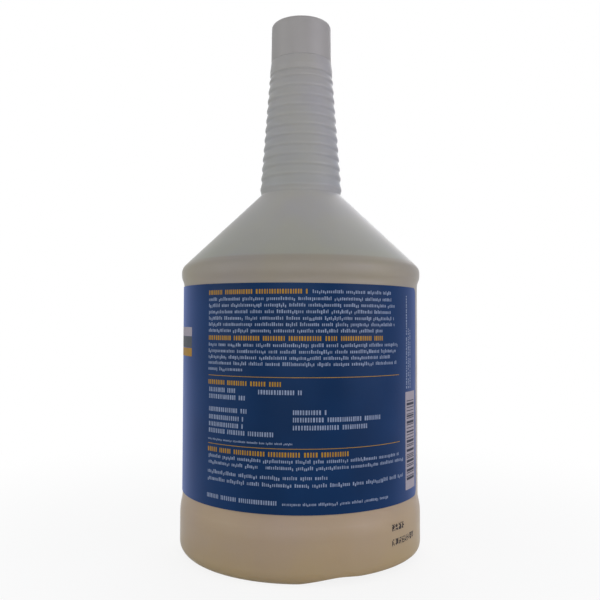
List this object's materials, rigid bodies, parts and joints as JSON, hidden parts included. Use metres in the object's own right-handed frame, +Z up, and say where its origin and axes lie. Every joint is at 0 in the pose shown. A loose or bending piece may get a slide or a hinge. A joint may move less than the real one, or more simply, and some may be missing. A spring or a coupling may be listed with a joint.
{
  "type": "motor oil bottle",
  "caption": "Round translucent plastic oil bottle with a tapered ribbed neck, a smooth screw cap and a printed wrap-round label, filled to the foot of its shoulder.",
  "frame": {"origin": "centre of the standing ring under the base, at the floor the bottle stands on", "axes": "+Z up along the bottle's axis to the cap, -Y to the side that faces the picture, +X to that side's right, where the label's gap is"},
  "size_m": [0.1038, 0.1038, 0.2296],
  "materials": {
    "bottle_plastic": "satin natural polyethylene, translucent, with a fine moulded grain",
    "cap_plastic": "smooth satin polypropylene",
    "liner_foam": "smooth-skinned foamed polyethylene disc",
    "label_film": null,
    "oil": "clear amber liquid with a glossy surface"
  },
  "bodies": {
    "bottle": {"bottle": "bottle_plastic", "label": "label_film", "motor_oil": "oil"},
    "liner": {"cap_liner": "liner_foam"},
    "cap": {"cap": "cap_plastic"}
  },
  "joints": [
    {"name": "cap_lift", "type": "slide", "parent": "bottle", "child": "liner", "axis": [0, 0, 1], "range_m": [0, 0.0254]},
    {"name": "cap_turn", "type": "hinge", "parent": "liner", "child": "cap", "pos_m": [0, 0, 0.21258], "axis": [0, 0, 1], "range_deg": [0, 2880]}
  ],
  "couplings": [
    {"joint": "cap_lift", "follows": "cap_turn", "m_per_rad": 0.0005053}
  ]
}
